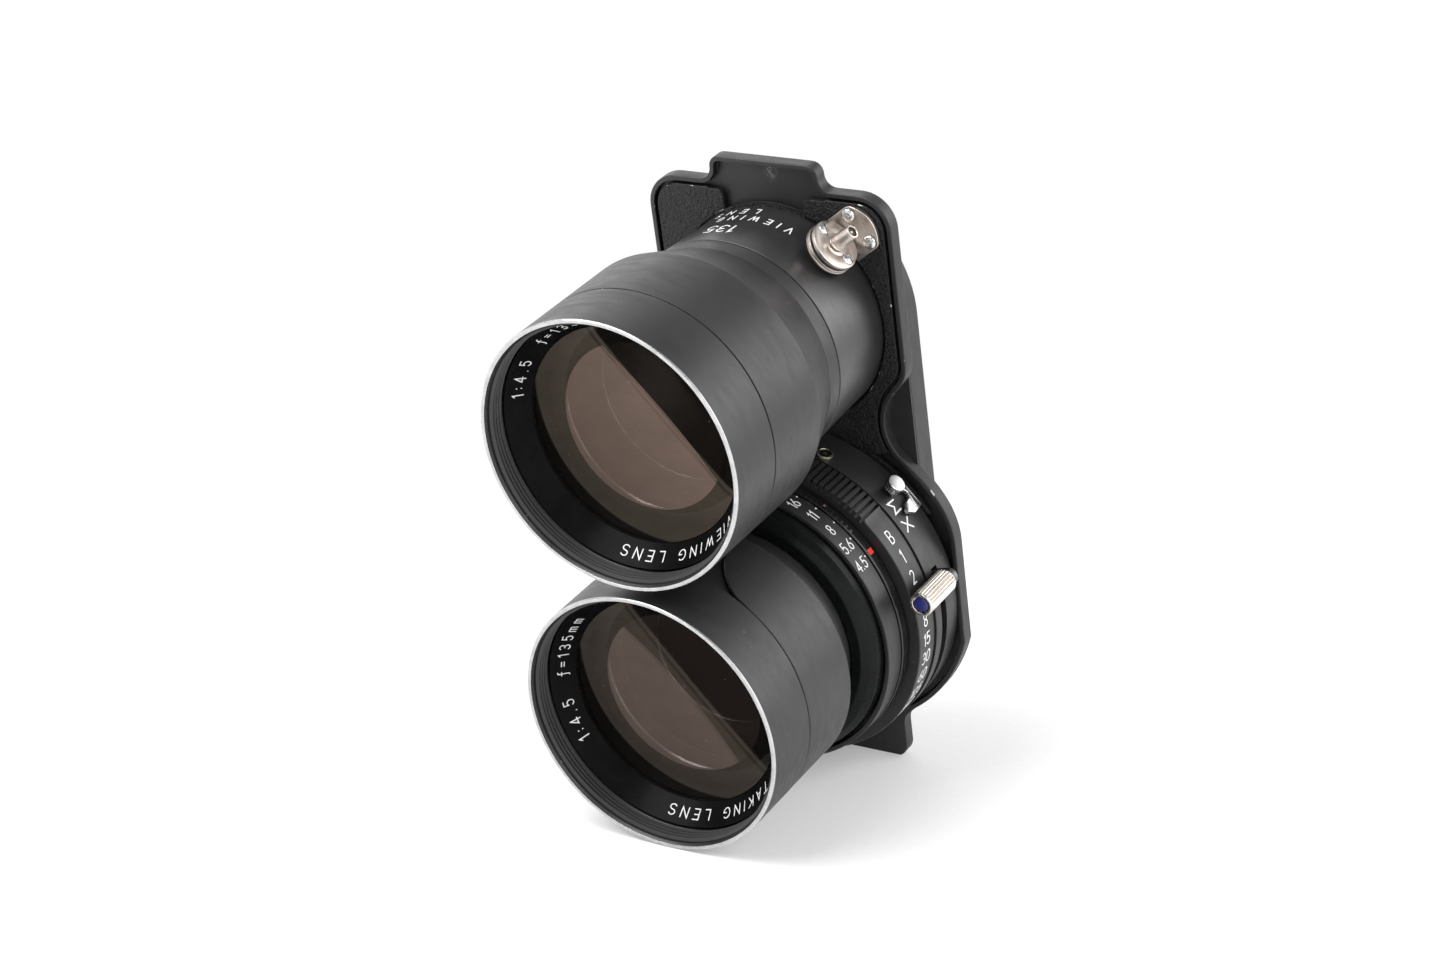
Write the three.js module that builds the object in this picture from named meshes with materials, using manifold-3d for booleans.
// Interchangeable twin lens unit for a twin lens reflex camera: a viewing lens above
// a taking lens with a leaf shutter, both carried on one die-cast lens panel.
//
// Units are millimetres, +Z up, the lenses face -Y, and +X is on the right seen from
// the front.  The origin is on the rear mounting plane, midway between the lens axes.
// A "station" is the distance behind the front rim of the taking lens, so
// y = station - TOTAL_DEPTH.  Angles are in degrees about a lens axis, from +X
// towards +Z.  Names ending in _R are radii, in _S stations and in _Z heights.

import * as THREE from 'three';
import { mergeVertices } from 'three/addons/utils/BufferGeometryUtils.js';
import Module from 'manifold-3d';

const wasm = await Module();
wasm.setup();

// ---------------------------------------------------------------- shared dimensions
const AXIS_SPACING = 50;          // between the two optical axes
const TOTAL_DEPTH = 62.3;         // taking rim to rear mounting plane
const VIEW_Z = AXIS_SPACING / 2;
const TAKE_Z = -AXIS_SPACING / 2;

const RIM_R = 24;                 // push-on diameter 48
const FRONT_RING_END_S = 11.45;
const SEAM_GAP = 0.25;            // between a ring and the barrel behind it
const BARREL_START_S = FRONT_RING_END_S + SEAM_GAP;

const LARGE_FACETS = 28;          // round the large rings
const SMALL_FACETS = 20;          // round the small ones
const FINE_FACETS = 16;           // round screws and other fittings

// ---------------------------------------------------------------- solids
const radians = (degrees) => degrees * Math.PI / 180;
const yAt = (station) => station - TOTAL_DEPTH;

// Welds a geometry, drops its collapsed triangles and turns its faces outwards.
function solid(geometry) {
  for (const name of Object.keys(geometry.attributes)) {
    if (name !== 'position') geometry.deleteAttribute(name);
  }
  const welded = mergeVertices(geometry, 1e-4);
  const { position } = welded.attributes;
  const indices = welded.index.array;
  const corner = (i) => new THREE.Vector3().fromBufferAttribute(position, i);
  const triangles = [];
  let signedVolume = 0;
  for (let i = 0; i < indices.length; i += 3) {
    const [a, b, c] = [indices[i], indices[i + 1], indices[i + 2]];
    if (a === b || b === c || c === a) continue;
    triangles.push(a, b, c);
    signedVolume += corner(a).dot(corner(b).cross(corner(c)));
  }
  if (signedVolume < 0) triangles.reverse();
  return new wasm.Manifold(new wasm.Mesh({
    numProp: 3,
    vertProperties: new Float32Array(position.array),
    triVerts: new Uint32Array(triangles),
  }));
}

function solidFromFaces(positions, indices) {
  const geometry = new THREE.BufferGeometry();
  geometry.setAttribute('position', new THREE.Float32BufferAttribute(positions, 3));
  geometry.setIndex(indices);
  return solid(geometry);
}

// Turns [radius, height] points about Y.  A profile that starts off the axis is closed.
function lathe(profile, segments) {
  const closed = profile[0][0] > 0 ? [...profile, profile[0]] : profile;
  const points = closed.map(([radius, height]) => new THREE.Vector2(radius, height));
  return new THREE.LatheGeometry(points, segments);
}

// profile of [radius, station], turned about a lens axis or one parallel to it
function turned(profile, axisZ, segments = LARGE_FACETS, axisX = 0) {
  const geometry = lathe(profile.map(([radius, s]) => [radius, yAt(s)]), segments);
  geometry.translate(axisX, 0, axisZ);
  return solid(geometry);
}

// profile of [radius, height], turned about an axis in the panel plane that leaves
// the point [x, z] at the given angle
function turnedOutward(profile, segments, angle, [x, z], station) {
  const geometry = lathe(profile, segments);
  geometry.rotateZ(-Math.PI / 2);
  geometry.rotateY(-radians(angle));
  geometry.translate(x, yAt(station), z);
  return solid(geometry);
}

function tube(outerR, innerR, s0, s1, axisZ, segments) {
  return turned([[outerR, s0], [outerR, s1], [innerR, s1], [innerR, s0]], axisZ, segments);
}

function disc(radius, s0, s1, axisZ, segments, axisX) {
  return turned([[0, s0], [radius, s0], [radius, s1], [0, s1]], axisZ, segments, axisX);
}

// flat [x, z] outline in the panel plane, from station s0 back to station s1
function plate(outline, s0, s1) {
  const shape = new THREE.Shape(outline.map(([x, z]) => new THREE.Vector2(x, z)));
  const geometry = new THREE.ExtrudeGeometry(shape, { depth: s1 - s0, bevelEnabled: false });
  geometry.rotateX(Math.PI / 2);
  geometry.translate(0, yAt(s1), 0);
  return solid(geometry);
}

// box of [width, depth, height], turned in the panel plane about its centre
function block(size, centre, angle = 0) {
  const geometry = new THREE.BoxGeometry(...size);
  geometry.rotateY(-radians(angle));
  geometry.translate(...centre);
  return solid(geometry);
}

// ---------------------------------------------------------------- flat outlines
// local point [along, across] of a frame at (x, z) whose first axis lies at the angle
function place([along, across], angle, x, z) {
  const cos = Math.cos(radians(angle));
  const sin = Math.sin(radians(angle));
  return [x + along * cos - across * sin, z + along * sin + across * cos];
}

const aroundTaking = (radius, angle) => place([radius, 0], angle, 0, TAKE_Z);

const rect = (x0, z0, x1, z1) => [[x0, z0], [x1, z0], [x1, z1], [x0, z1]];

function arc(x, z, radius, start, end, steps) {
  const points = [];
  for (let i = 0; i <= steps; i++) {
    points.push(place([radius, 0], start + (end - start) * i / steps, x, z));
  }
  return points;
}

// annular sector, about the taking axis unless another height is given
function sector(innerR, outerR, start, end, steps, z = TAKE_Z) {
  return [...arc(0, z, outerR, start, end, steps), ...arc(0, z, innerR, end, start, steps)];
}

// outline moved inwards by a distance, for a counter-clockwise polygon
function inset(outline, distance) {
  const inwardNormal = (from, to) => {
    const [dx, dz] = [to[0] - from[0], to[1] - from[1]];
    const length = Math.hypot(dx, dz);
    return [-dz / length, dx / length];
  };
  const count = outline.length;
  return outline.map((point, i) => {
    const before = inwardNormal(outline[(i + count - 1) % count], point);
    const after = inwardNormal(point, outline[(i + 1) % count]);
    const mitre = 1 + before[0] * after[0] + before[1] * after[1];
    return [
      point[0] + distance * (before[0] + after[0]) / mitre,
      point[1] + distance * (before[1] + after[1]) / mitre,
    ];
  });
}

// ---------------------------------------------------------------- group and materials
const MATERIALS = {
  satin: { color: 0x2b2b2d, roughness: 0.45, metalness: 0.2 },
  crinkle: { color: 0x1d1d1f, roughness: 0.85, metalness: 0.1 },
  gloss: { color: 0x0c0c0d, roughness: 0.15, metalness: 0.1 },
  nickel: { color: 0xb9aaa0, roughness: 0.3, metalness: 1.0 },
  steel: { color: 0xb8b6b2, roughness: 0.35, metalness: 1.0 },
  brass: { color: 0xa9965f, roughness: 0.4, metalness: 1.0 },
  glass: { color: 0x6d625a, roughness: 0.05, metalness: 0.0 },
  navy: { color: 0x23256b, roughness: 0.35, metalness: 0.0 },
  blade: { color: 0x3a3b3d, roughness: 0.4, metalness: 0.9 },
  alloy: { color: 0x8f9092, roughness: 0.4, metalness: 1.0 },
  insulator: { color: 0x2c2320, roughness: 0.6, metalness: 0.0 },
};

const group = new THREE.Group();

function add(name, piece, finish) {
  const { vertProperties, triVerts } = piece.getMesh();
  const geometry = new THREE.BufferGeometry();
  geometry.setAttribute('position', new THREE.Float32BufferAttribute(vertProperties, 3));
  geometry.setIndex(new THREE.BufferAttribute(new Uint32Array(triVerts), 1));
  geometry.computeVertexNormals();
  const mesh = new THREE.Mesh(geometry, new THREE.MeshStandardMaterial(MATERIALS[finish]));
  mesh.name = name;
  group.add(mesh);
}

// ---------------------------------------------------------------- lens panel
const LIP_S = 55.0;               // front plane of the panel lip
const FLOOR_S = 56.3;             // recess floor behind the cover plate
const PANEL_BACK_S = 57.6;        // flange that seats on the camera front
const COVER_S = [55.05, 56.0];
const CUT_S = [50, 60];           // span of the cutters for panel and cover plate
const LIP_WIDTH = 0.8;
const COVER_INSET = 1.5;          // lip plus groove, edge of the cover plate
const FLANK_X = 29.6;             // half width beside the taking lens
const RECESS_R = 30.2;            // recess round the taking lens
const BOSS = { radius: 23.5, frontS: 54.95 };
const PANEL_BORE_R = { view: 17.6, take: 16.2 };
const FOOT = { halfWidth: 15.5, z: -36.3, cornerR: 3 };
const SHOULDER = { x: 17.5, z: 67.6, radius: 6 };
const BOX = { halfWidth: 22.7, wall: 1.6, bottomZ: -28.5 };  // hollow box at the rear
const CROSSBAR = { width: 2 * BOX.halfWidth - 2, depth: 5, height: 3 };

// Right half of the outline, [x, z] from the taking axis, running up from the foot.
const PANEL_RIGHT = [
  ...arc(FOOT.halfWidth - FOOT.cornerR, FOOT.z + FOOT.cornerR, FOOT.cornerR, -90, 0, 3),
  [FOOT.halfWidth, -29.2], [16.1, -27.0], [17.8, -25.4],
  ...arc(0, 0, 31, -48, -20, 4),
  [FLANK_X, -8.5], [FLANK_X, 11], [29.2, 13.5], [28.3, 16], [27, 18.4], [25.5, 20.5],
  [23.5, 22.7], [21.5, 24.5], [20, 26], [19, 27.5], [18.4, 29.2], [18.25, 31.5],
  [18.7, 34], [19.8, 36.3], [21.5, 38.4], [22.9, 39.9], [23.5, 41.6],
  ...arc(SHOULDER.x, SHOULDER.z, SHOULDER.radius, 0, 90, 5),
  [12.4, 73.6], [11.1, 74.2], [10.5, 75.4], [10.2, 77.0], [9.0, 78.0],
];
const PANEL_OUTLINE = [...PANEL_RIGHT, ...PANEL_RIGHT.map(([x, z]) => [-x, z]).reverse()];

const fromTakingAxis = (points) => points.map(([x, z]) => [x, z + TAKE_Z]);

// recess for the cover plate, open to the front
function panelRecess() {
  const upper = inset(PANEL_OUTLINE, LIP_WIDTH).filter(([, z]) => z > 5);
  const halfWidth = FLANK_X - LIP_WIDTH;
  const flanks = plate(rect(-halfWidth, -40, halfWidth, 80), CUT_S[0] - 1, FLOOR_S + 1);
  return plate(fromTakingAxis(upper), CUT_S[0], FLOOR_S)
    .add(disc(RECESS_R, CUT_S[0], FLOOR_S, TAKE_Z).intersect(flanks));
}

// rear box outline: an arc below, straight sides and a half circle round the viewing axis
function boxOutline(margin) {
  const lowerR = -BOX.bottomZ - margin;
  const halfWidth = BOX.halfWidth - margin;
  const sideAngle = Math.acos(halfWidth / lowerR) * 180 / Math.PI;
  return fromTakingAxis([
    ...arc(0, 0, lowerR, sideAngle - 180, -sideAngle, 12),
    ...arc(0, AXIS_SPACING, halfWidth, 0, 180, 20),
  ]);
}

function lensPanel() {
  const box = plate(boxOutline(0), PANEL_BACK_S - 0.5, TOTAL_DEPTH)
    .subtract(plate(boxOutline(BOX.wall), PANEL_BACK_S, TOTAL_DEPTH + 1));
  const { width, depth, height } = CROSSBAR;
  return plate(fromTakingAxis(PANEL_OUTLINE), LIP_S, PANEL_BACK_S)
    .subtract(panelRecess())
    .add(disc(BOSS.radius, BOSS.frontS, FLOOR_S + 0.5, TAKE_Z))
    .add(box)
    .add(block([width, depth, height], [0, -depth / 2, 0]))
    .subtract(disc(PANEL_BORE_R.view, ...CUT_S, VIEW_Z))
    .subtract(disc(PANEL_BORE_R.take, ...CUT_S, TAKE_Z));
}
add('lens_panel', lensPanel(), 'satin');

// Crinkle-finished plate in the recess, with the top tab and the lower part cut away.
const COVER_BORE_R = { view: 20.1, take: 23.9 };
const COVER_TRIM = { outerR: 60, innerR: 29.6, top: 25.4 };  // round the taking axis
// rectangles cut away, [x0, z0, x1, z1] from the taking axis
const COVER_CUTS = [
  [-8.5, 66, 7, 79], [6.5, 71.9, 11.2, 79], [-11.2, 71.9, -8, 79], [-40, 0, 40, 15],
];

function coverPlate() {
  const { outerR, innerR, top } = COVER_TRIM;
  const outline = inset(PANEL_OUTLINE, COVER_INSET).filter(([, z]) => z > 12);
  let cover = plate(fromTakingAxis(outline), ...COVER_S)
    .subtract(disc(COVER_BORE_R.view, ...CUT_S, VIEW_Z, LARGE_FACETS))
    .subtract(disc(COVER_BORE_R.take, ...CUT_S, TAKE_Z, LARGE_FACETS));
  for (const cut of COVER_CUTS) {
    cover = cover.subtract(plate(fromTakingAxis(rect(...cut)), ...CUT_S));
  }
  const trimArea = plate(fromTakingAxis(rect(-outerR, 0, outerR, top)), 49, 61);
  return cover.subtract(tube(outerR, innerR, ...CUT_S, TAKE_Z).intersect(trimArea));
}
add('panel_cover_plate', coverPlate(), 'crinkle');

// ---------------------------------------------------------------- front of both lenses
const THREAD_R = 22.75;           // 46 mm filter thread
const RIM_BORE_R = 23.1;
const VIEW_RIM_S = -0.3;          // viewing rim stands slightly proud
const NAME_OUTER = [22.4, 4.2];   // name ring cone, [radius, depth behind the rim]
const NAME_INNER = [19.4, 8.3];
const NAME_BACK = 9.4;            // depth behind the rim
const GLASS_R = 20.0;
const SEAT = { outerR: 22.4, boreR: 20.3, frontS: 9.9, floorS: 17.2 };  // front of a barrel

function addLensFront(prefix, axisZ, rimS) {
  add(`${prefix}_front_ring`, turned([
    [RIM_R, rimS], [RIM_R, FRONT_RING_END_S], [THREAD_R, FRONT_RING_END_S],
    [THREAD_R, rimS + 1.2], [RIM_BORE_R, rimS + 1.0], [RIM_BORE_R, rimS],
  ], axisZ), 'satin');
  add(`${prefix}_name_ring`, turned([
    [NAME_OUTER[0], NAME_OUTER[1] + rimS], [NAME_OUTER[0], NAME_BACK + rimS],
    [NAME_INNER[0], NAME_BACK + rimS], [NAME_INNER[0], NAME_INNER[1] + rimS],
  ], axisZ), 'gloss');
  add(`${prefix}_front_element`, turned([
    [0, 5.8 + rimS], [7, 6.2 + rimS], [13, 7.2 + rimS], [19.1, 9.1 + rimS],
    [19.1, 9.6 + rimS], [GLASS_R, 9.6 + rimS], [GLASS_R, 14.4], [12, 13.2], [0, 12.6],
  ], axisZ, SMALL_FACETS), 'glass');
  add(`${prefix}_spacer`, tube(GLASS_R, 17.2, 14.7, 16.9, axisZ, SMALL_FACETS), 'gloss');
}

// ---------------------------------------------------------------- viewing lens
const VIEW_SHOULDER_S = 25.8;     // end of the parallel barrel
const VIEW_CONE_END_S = 36.0;
const VIEW_WAIST_R = 20.4;
const VIEW_SEAM_S = 39.1;
const NECK_START_S = VIEW_SEAM_S + SEAM_GAP;
const NECK_REAR_R = 19.7;

addLensFront('viewing', VIEW_Z, VIEW_RIM_S);
add('viewing_barrel', turned([
  [SEAT.outerR, SEAT.frontS], [SEAT.outerR, BARREL_START_S], [RIM_R, BARREL_START_S],
  [RIM_R, VIEW_SHOULDER_S], [VIEW_WAIST_R, VIEW_CONE_END_S], [VIEW_WAIST_R, VIEW_SEAM_S],
  [18.2, VIEW_SEAM_S], [18.2, 43], [17.0, 43], [17.0, 24.5], [15.4, 24.5], [15.4, 23],
  [16.9, 23], [16.9, SEAT.floorS], [SEAT.boreR, SEAT.floorS], [SEAT.boreR, SEAT.frontS],
], VIEW_Z), 'satin');
add('viewing_second_element', turned([
  [0, 18.6], [10, 18.0], [16.6, 17.4], [16.6, 22.8], [9, 21.6], [0, 21.2],
], VIEW_Z, SMALL_FACETS), 'glass');
add('viewing_neck', turned([
  [VIEW_WAIST_R, NECK_START_S], [20.0, 47], [NECK_REAR_R, 56.0], [17.3, 56.0], [17.3, 60.2],
  [15.9, 60.2], [15.9, 54.5], [18.5, 54.5], [18.5, NECK_START_S],
], VIEW_Z), 'satin');
add('viewing_lock_ring', tube(20.0, 17.6, 57.9, 59.8, VIEW_Z, SMALL_FACETS), 'satin');
add('viewing_rear_cell', turned([
  [12.2, 50], [15.6, 50], [15.6, 61.6], [13.8, 61.6], [13.8, 55.5], [12.2, 55.5],
], VIEW_Z, SMALL_FACETS), 'satin');
add('viewing_rear_element', turned([
  [0, 56.6], [13.5, 55.8], [13.5, 59.4], [0, 60.4],
], VIEW_Z, SMALL_FACETS), 'glass');
add('viewing_rear_retainer', tube(13.5, 12.0, 59.7, 60.9, VIEW_Z, SMALL_FACETS), 'gloss');

// ---------------------------------------------------------------- taking lens, front
const TAKE_BARREL_R = 23.1;
const TAKE_NECK_R = 20.5;
const SLEEVE_R = 23.95;           // rear sleeve of the taking barrel
const SLEEVE_BORE_R = 23.35;
const SLEEVE_END_S = 25.6;
const CELL_STEP_S = SLEEVE_END_S + 0.4;

addLensFront('taking', TAKE_Z, 0);
add('taking_barrel', turned([
  [SEAT.outerR, SEAT.frontS], [SEAT.outerR, BARREL_START_S],
  [TAKE_BARREL_R, BARREL_START_S], [TAKE_BARREL_R, SLEEVE_END_S],
  [18.3, SLEEVE_END_S], [18.3, SEAT.floorS], [SEAT.boreR, SEAT.floorS],
  [SEAT.boreR, SEAT.frontS],
], TAKE_Z), 'satin');

// Front edge of the sleeve: it follows the ring seam round the bottom and sweeps back
// on both sides of the top.
const SWEEP_HALF_ANGLE = 38;      // from the top to where the sweep meets the seam
const SWEEP_TOP_S = 24.2;
// [degrees away from the top, station]
const SWEEP_EDGE = [
  [14.2, 24.2], [15.4, 22.6], [15.9, 20.4], [18.4, 17.4], [21.7, 15.5], [26, 13.5], [32, 12.0],
];
const SEAM_STEPS = 22;

function takingSleeve() {
  const seamStart = 90 + SWEEP_HALF_ANGLE - 360;
  const seamSpan = 360 - 2 * SWEEP_HALF_ANGLE;
  const edge = [];  // [angle, station], once round
  for (let i = 0; i <= SEAM_STEPS; i++) {
    edge.push([seamStart + i * seamSpan / SEAM_STEPS, BARREL_START_S]);
  }
  edge.push(...SWEEP_EDGE.map(([offset, s]) => [90 - offset, s]).reverse());
  edge.push([90, SWEEP_TOP_S]);
  edge.push(...SWEEP_EDGE.map(([offset, s]) => [90 + offset, s]));

  const positions = [];
  const indices = [];
  edge.forEach(([angle, frontS], i) => {
    const section = [
      [SLEEVE_R, frontS], [SLEEVE_R, SLEEVE_END_S],
      [SLEEVE_BORE_R, SLEEVE_END_S], [SLEEVE_BORE_R, frontS],
    ];
    for (const [radius, s] of section) {
      const [x, z] = aroundTaking(radius, angle);
      positions.push(x, yAt(s), z);
    }
    const here = 4 * i;
    const next = 4 * ((i + 1) % edge.length);
    for (let k = 0; k < 4; k++) {
      const after = (k + 1) % 4;
      indices.push(here + k, next + k, here + after, here + after, next + k, next + after);
    }
  });
  return solidFromFaces(positions, indices);
}
add('taking_sleeve', takingSleeve(), 'satin');

add('taking_front_cell', turned([
  [18.0, 17.5], [18.0, CELL_STEP_S], [TAKE_NECK_R, CELL_STEP_S], [TAKE_NECK_R, 36.1],
  [15.6, 36.1], [15.6, 40], [13, 40], [13, 24], [16.3, 24], [16.3, 17.5],
], TAKE_Z), 'satin');
add('taking_second_element', turned([
  [0, 18.6], [10, 18.2], [16.0, 17.6], [16.0, 23.7], [9, 22.3], [0, 21.9],
], TAKE_Z, SMALL_FACETS), 'glass');

// ---------------------------------------------------------------- shutter, fixed pieces
const DISH_R = 25.2;
const INDEX_R = 26.6;             // fixed index ring
const RING_BORE_R = 24.5;         // index, aperture and speed rings
const NOSE_R = 24.2;              // shutter nose the rings turn on
const HOUSING_R = 29.0;
const HOUSING_FRONT_S = 47.0;
const HOUSING_REAR_S = 54.8;
const CHAMBER_R = 27.6;
const CHAMBER_FRONT_S = 48.2;
const KNOB = { radius: 31.3, angle: 12.5 };  // place of the cocking knob
const LEVER_TRAVEL = 55;          // cocking lever
const SLOT_MARGIN = 4;            // degrees past each end of that travel

add('shutter_front_dish', turned([
  [20.85, 31.6], [23.4, 32.4], [24.7, 33.6], [DISH_R, 35.0], [DISH_R, 36.1], [20.85, 36.1],
], TAKE_Z), 'gloss');

const housingSlot = (start, end, s0, s1) => plate(sector(26.5, 31, start, end, 10), s0, s1);
add('shutter_housing', turned([
  [15.95, 36.4], [NOSE_R, 36.4], [NOSE_R, HOUSING_FRONT_S], [HOUSING_R, HOUSING_FRONT_S],
  [HOUSING_R, HOUSING_REAR_S], [CHAMBER_R, HOUSING_REAR_S], [CHAMBER_R, CHAMBER_FRONT_S],
  [22.7, CHAMBER_FRONT_S], [22.7, 38.0], [17.5, 38.0], [17.5, CHAMBER_FRONT_S],
  [15.95, CHAMBER_FRONT_S],
], TAKE_Z)
  .subtract(housingSlot(
    KNOB.angle - LEVER_TRAVEL - SLOT_MARGIN, KNOB.angle + SLOT_MARGIN, 49.0, 50.8))
  .subtract(housingSlot(186, 216, 51.3, 52.9)), 'satin');

// bush on the upper flank of the housing
const BUSH = { angle: 71, radius: HOUSING_R + 0.05, station: 48.8 };
add('housing_bush', turnedOutward(
  [[0, 0], [1.45, 0], [1.45, 0.5], [1.1, 0.5], [0.95, 0.25], [0, 0.25]],
  FINE_FACETS, BUSH.angle, aroundTaking(BUSH.radius, BUSH.angle), BUSH.station), 'brass');

add('shutter_back_plate', turned([
  [14.2, 53.2], [27.3, 53.2], [27.3, 54.6], [15.9, 54.6], [15.9, 60.4], [14.2, 60.4],
], TAKE_Z), 'alloy');
add('shutter_retaining_nut', tube(19.0, 16.2, 57.9, 60.0, TAKE_Z, SMALL_FACETS), 'satin');
add('shutter_index_ring', tube(INDEX_R, RING_BORE_R, 39.15, 41.15, TAKE_Z), 'gloss');

// ---------------------------------------------------------------- moving rings
const APERTURE_R = 26.4;          // aperture scale ring
const SPEED_R = 28.7;             // speed scale ring
// grooves across the rim of the speed ring; size is radial, along the axis, round the rim
const GROOVES = { count: 14, start: 45.6, pitch: 2.45, size: [0.9, 7, 0.42], station: 44 };

add('aperture_ring', turned([
  [APERTURE_R, 34.6], [APERTURE_R, 38.9], [RING_BORE_R, 38.9], [RING_BORE_R, 36.45],
  [25.55, 36.45], [25.55, 34.6],
], TAKE_Z), 'satin');

function speedRing() {
  let ring = tube(SPEED_R, RING_BORE_R, 41.4, 46.75, TAKE_Z);
  for (let i = 0; i < GROOVES.count; i++) {
    const angle = GROOVES.start + GROOVES.pitch * i;
    const [x, z] = aroundTaking(SPEED_R + 0.05, angle);
    ring = ring.subtract(block(GROOVES.size, [x, yAt(GROOVES.station), z], angle));
  }
  return ring;
}
add('speed_ring', speedRing(), 'satin');

// ---------------------------------------------------------------- shutter levers
const LEVER_RING_R = [25.0, 27.2];
const ARM_ROOT_R = 25.6;

// An open ring inside the housing with one arm standing out, its tip corners cut off.
function lever({ ringStart, ringEnd, steps, angle, tipR, halfWidth, tipCut, stations }) {
  const arm = [
    [ARM_ROOT_R, -halfWidth], [tipR - tipCut, -halfWidth], [tipR, -halfWidth / 2],
    [tipR, halfWidth / 2], [tipR - tipCut, halfWidth], [ARM_ROOT_R, halfWidth],
  ].map((point) => place(point, angle, 0, TAKE_Z));
  return plate(sector(...LEVER_RING_R, ringStart, ringEnd, steps), ...stations)
    .add(plate(arm, ...stations));
}

add('cocking_lever', lever({
  ringStart: KNOB.angle - 70, ringEnd: KNOB.angle + 250, steps: 36, angle: KNOB.angle,
  tipR: KNOB.radius + 1.6, halfWidth: 1.5, tipCut: 0.6, stations: [49.25, 50.5],
}), 'steel');

const [knobX, knobZ] = aroundTaking(KNOB.radius, KNOB.angle);
add('cocking_knob', turned([
  [0, 40.4], [1.55, 40.4], [1.55, 39.75], [2.0, 39.75], [2.0, 48.1], [2.15, 48.1],
  [2.15, 49.0], [0, 49.0],
], knobZ, 24, knobX), 'nickel');
add('cocking_knob_cap', disc(1.4, 39.85, 40.25, knobZ, FINE_FACETS, knobX), 'navy');

// ---------------------------------------------------------------- flash sync selector
// A thin plate curved round the housing, with a pointed head, a bar and a tongue that
// carries the post.  Outline as [angle, station], counter-clockwise in those axes.
const SELECTOR_PLATE = [
  [35.8, 53.5], [35.5, 51.3], [37.4, 49.8], [39.9, 51.0], [40.6, 53.0], [43.4, 53.3],
  [44.4, 53.2], [44.4, 50.2], [48.6, 50.2], [48.6, 53.2], [50, 53.4], [50, 54.7],
  [45.2, 54.7], [40.4, 54.7], [35.6, 54.7],
];
const SELECTOR_PLATE_R = [29.45, 30.3];
const MM_PER_DEGREE = 0.52;       // round the plate, to flatten its outline
const POST = { angle: 46.5, station: 50.7, radius: 1.6, baseR: 30.35, tipR: 32.0 };

function wrappedPlate(outline, radii) {
  const positions = [];
  for (const radius of radii) {
    for (const [angle, s] of outline) {
      const [x, z] = aroundTaking(radius, angle);
      positions.push(x, yAt(s), z);
    }
  }
  const count = outline.length;
  const indices = [];
  const flat = outline.map(([angle, s]) => new THREE.Vector2(angle * MM_PER_DEGREE, s));
  for (const [a, b, c] of THREE.ShapeUtils.triangulateShape(flat, [])) {
    indices.push(a, b, c, count + a, count + c, count + b);
  }
  for (let i = 0; i < count; i++) {
    const next = (i + 1) % count;
    indices.push(i, count + i, next, next, count + i, count + next);
  }
  return solidFromFaces(positions, indices);
}
add('sync_selector_lever', wrappedPlate(SELECTOR_PLATE, SELECTOR_PLATE_R), 'nickel');

const postHeight = POST.tipR - POST.baseR;
add('sync_selector_post', turnedOutward(
  [[0, 0], [POST.radius, 0], [POST.radius, postHeight], [0, postHeight]],
  18, POST.angle, aroundTaking(POST.baseR, POST.angle), POST.station), 'nickel');

// ---------------------------------------------------------------- release lever
add('shutter_release_lever', lever({
  ringStart: 170, ringEnd: 400, steps: 26, angle: 204,
  tipR: 35, halfWidth: 1.6, tipCut: 0.8, stations: [51.55, 52.65],
}), 'steel');

// ---------------------------------------------------------------- shutter and iris blades
const BLADE_COUNT = 5;
const BLADE_THICKNESS = 0.15;
const BLADE_PITCH = 0.3;          // from one blade to the next along the axis

// A blade is an arc strip with a narrowed end at its pivot; swing is the angle it is
// turned inwards about the pivot, and phase the angle of the first pivot.
function addBlades(prefix, { innerR, outerR, span, pivotR, swing, frontS, phase }) {
  const middle = (innerR + outerR) / 2;
  const endHalfWidth = (outerR - innerR) / 4;
  for (let k = 0; k < BLADE_COUNT; k++) {
    const base = phase + 360 * k / BLADE_COUNT;
    const [pivotX, pivotZ] = aroundTaking(pivotR, base);
    const outline = [
      ...sector(innerR, outerR, base, base + span, 6),
      aroundTaking(middle - endHalfWidth, base - 4),
      aroundTaking(middle + endHalfWidth, base - 4),
    ].map(([x, z]) => place([x - pivotX, z - pivotZ], swing, pivotX, pivotZ));
    const s0 = frontS + BLADE_PITCH * k;
    add(`${prefix}_blade_${k + 1}`, plate(outline, s0, s0 + BLADE_THICKNESS), 'blade');
  }
}
addBlades('iris', {
  innerR: 15.6, outerR: 21.6, span: 96, pivotR: 18.6, swing: 0, frontS: 48.65, phase: 10,
});
addBlades('shutter', {
  innerR: 15.2, outerR: 23.8, span: 84, pivotR: 19.5, swing: 48, frontS: 51.05, phase: 28,
});

// ---------------------------------------------------------------- taking lens, rear
add('taking_rear_cell', turned([
  [11.0, 54.5], [13.9, 54.5], [13.9, 60.7], [15.7, 60.7], [15.7, 62.0], [12.9, 62.0],
  [12.9, 57.5], [11.0, 57.5],
], TAKE_Z, SMALL_FACETS), 'satin');
add('taking_rear_element', turned([
  [0, 58.6], [12.6, 57.8], [12.6, 60.4], [0, 61.2],
], TAKE_Z, SMALL_FACETS), 'glass');
add('taking_rear_retainer', tube(12.6, 11.4, 60.75, 61.7, TAKE_Z, SMALL_FACETS), 'gloss');

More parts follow.
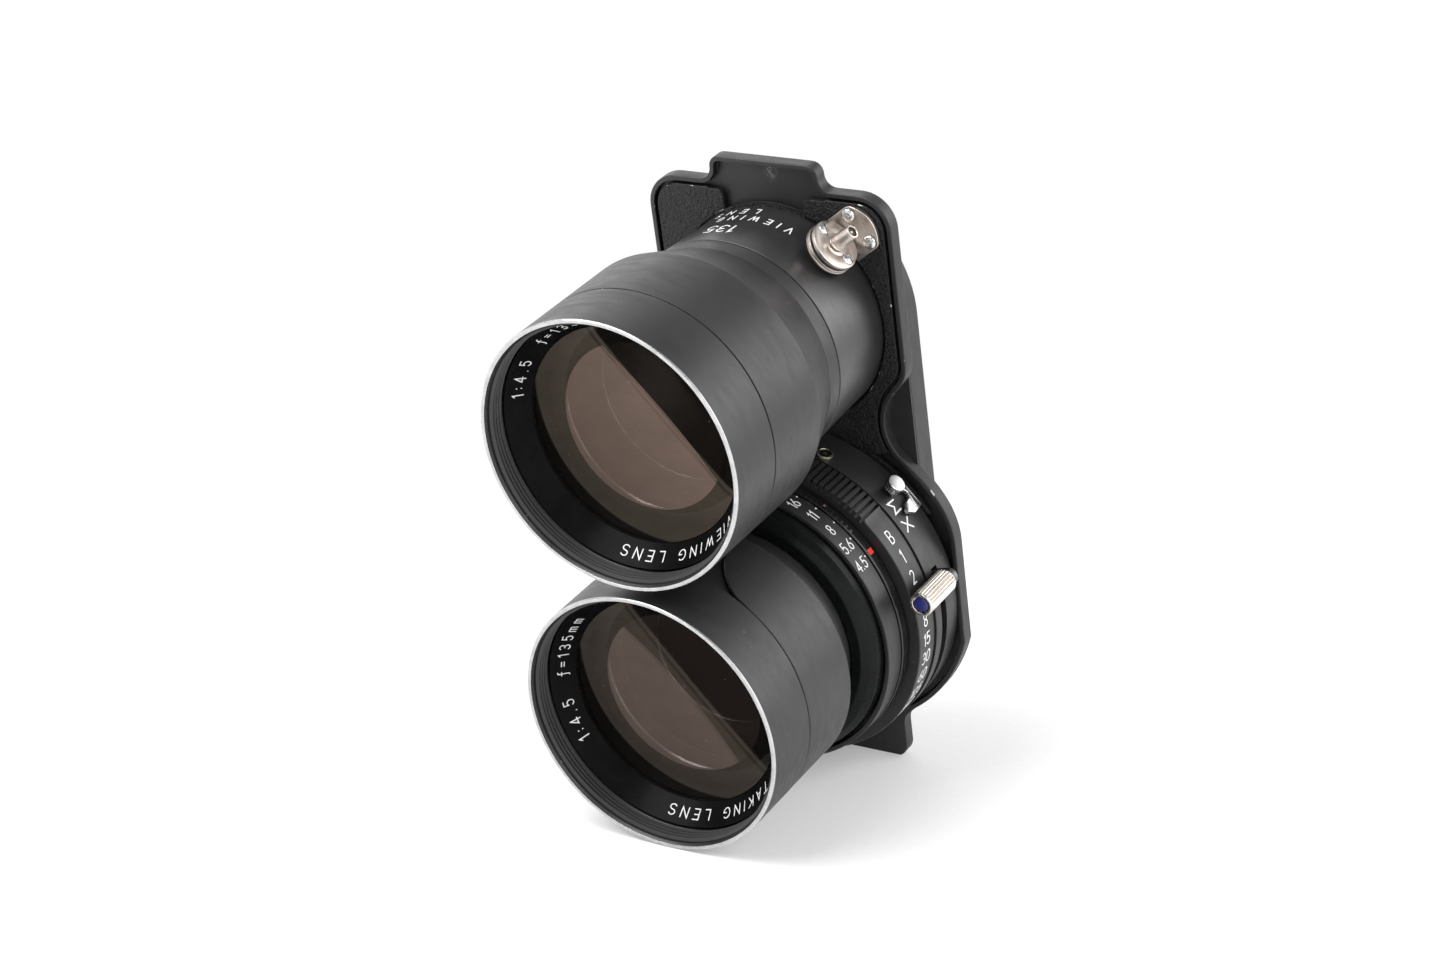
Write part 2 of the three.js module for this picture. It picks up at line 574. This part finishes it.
// ---------------------------------------------------------------- flash terminal
// Local points are [along the socket, across it]; the socket points up and outwards.
const TERMINAL = { x: 16.1, z: TAKE_Z + 67.2, station: 49.5, angle: 38, radius: 4.5 };
const FACE_SCREW_OFFSET = 3.1;    // each side of the socket axis
const BASE_SCREW = { frontS: 53.2, radius: 1.2, along: 2.3, slotAngle: 62 };
const BRACKET_BASE = [
  [-2.3, -4.6], [2.6, -4.7], [4.2, -3.2], [5.0, -0.9], [5.0, 0.6], [4.2, 2.6], [2.8, 3.8],
  [-2.3, 3.9],
];

const inTerminal = (point) => place(point, TERMINAL.angle, TERMINAL.x, TERMINAL.z);

// profile of [radius, distance along], turned about the socket axis or one beside it
function alongSocket(profile, segments, across = 0) {
  const start = inTerminal([0, across]);
  return turnedOutward(profile, segments, TERMINAL.angle, start, TERMINAL.station);
}

function terminalBracket() {
  const { radius } = TERMINAL;
  return plate(BRACKET_BASE.map(inTerminal), 54.05, 54.85)
    .add(alongSocket([[0, -2.3], [radius, -2.3], [radius, -1.25], [0, -1.25]], SMALL_FACETS))
    .add(plate(rect(-2.29, -3.4, -1.26, 3.4).map(inTerminal), 51.5, 54.5));
}
add('terminal_bracket', terminalBracket(), 'nickel');
add('terminal_insulating_washer', alongSocket(
  [[0, -1.1], [4.1, -1.1], [4.1, -0.95], [0, -0.95]], SMALL_FACETS), 'insulator');

function terminalFacePlate() {
  const { radius } = TERMINAL;
  const screwHole = (across) => alongSocket(
    [[0, -0.35], [1.02, -0.35], [1.02, 0.5], [0, 0.5]], FINE_FACETS, across);
  return alongSocket([[0.75, -0.8], [radius, -0.8], [radius, 0], [0.75, 0]], SMALL_FACETS)
    .subtract(screwHole(FACE_SCREW_OFFSET))
    .subtract(screwHole(-FACE_SCREW_OFFSET));
}
add('terminal_face_plate', terminalFacePlate(), 'nickel');

function faceScrew(across) {
  const profile = [[0, -0.2], [0.85, -0.2], [0.85, 0.1], [0.45, 0.28], [0, 0.33]];
  const [x, z] = inTerminal([0.35, across]);
  return alongSocket(profile, FINE_FACETS, across)
    .subtract(block([0.5, 0.25, 3], [x, yAt(TERMINAL.station), z], TERMINAL.angle));
}
add('terminal_face_screw_upper', faceScrew(FACE_SCREW_OFFSET), 'steel');
add('terminal_face_screw_lower', faceScrew(-FACE_SCREW_OFFSET), 'steel');

add('terminal_socket_sleeve', alongSocket(
  [[1.5, 0.15], [1.35, 1.2], [1.2, 4.4], [0.85, 4.4], [0.85, 0.15]], 20), 'nickel');
add('terminal_socket_insulator', alongSocket(
  [[0.7, 0.3], [0.7, 4.1], [0.42, 4.1], [0.42, 0.3]], FINE_FACETS), 'insulator');
add('terminal_centre_pin', alongSocket(
  [[0, -0.6], [0.3, -0.6], [0.3, 4.2], [0, 4.2]], 12), 'brass');

function baseScrew(across) {
  const { frontS, radius, along, slotAngle } = BASE_SCREW;
  const [x, z] = inTerminal([along, across]);
  return turned([
    [0, frontS], [radius, frontS + 0.35], [radius, frontS + 0.7], [0, frontS + 0.7],
  ], z, FINE_FACETS, x)
    .subtract(block([radius * 3, 0.5, 0.28], [x, yAt(frontS), z], slotAngle));
}
add('terminal_base_screw_upper', baseScrew(2.5), 'steel');
add('terminal_base_screw_lower', baseScrew(-3.2), 'steel');

export default group;
